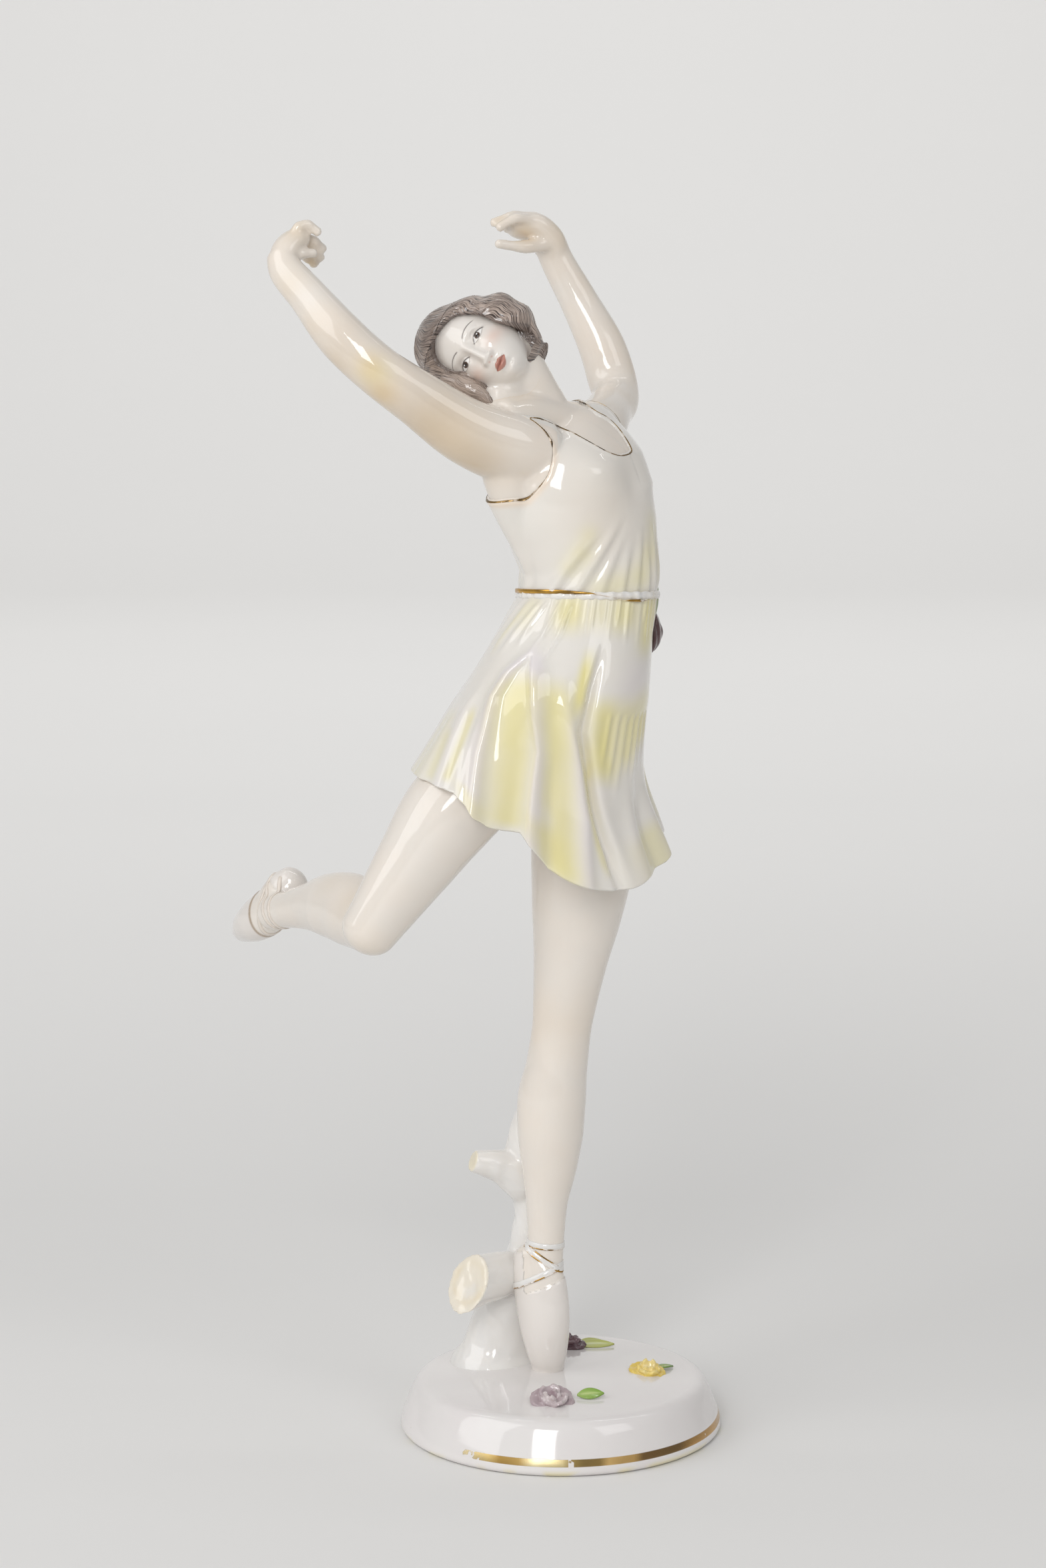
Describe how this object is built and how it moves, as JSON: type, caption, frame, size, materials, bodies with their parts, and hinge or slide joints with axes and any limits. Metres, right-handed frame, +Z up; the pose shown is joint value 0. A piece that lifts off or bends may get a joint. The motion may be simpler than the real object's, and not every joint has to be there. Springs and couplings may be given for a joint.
{
  "type": "porcelain dancer figurine",
  "caption": "Glazed porcelain dancer on pointe on a low round base, one leg bent up behind, arms raised over her head, short flared dress, tree stump support and applied flowers.",
  "frame": {"origin": "centre of the round base on its underside", "axes": "+Z up along the figure, -Y towards the viewer of the picture, +X to that viewer's right"},
  "size_m": [0.1667, 0.1351, 0.3999],
  "materials": {
    "porcelain": "glossy clear glaze over white porcelain, painted and airbrushed"
  },
  "bodies": {
    "root": {"dancer_figurine": "porcelain"}
  },
  "joints": []
}
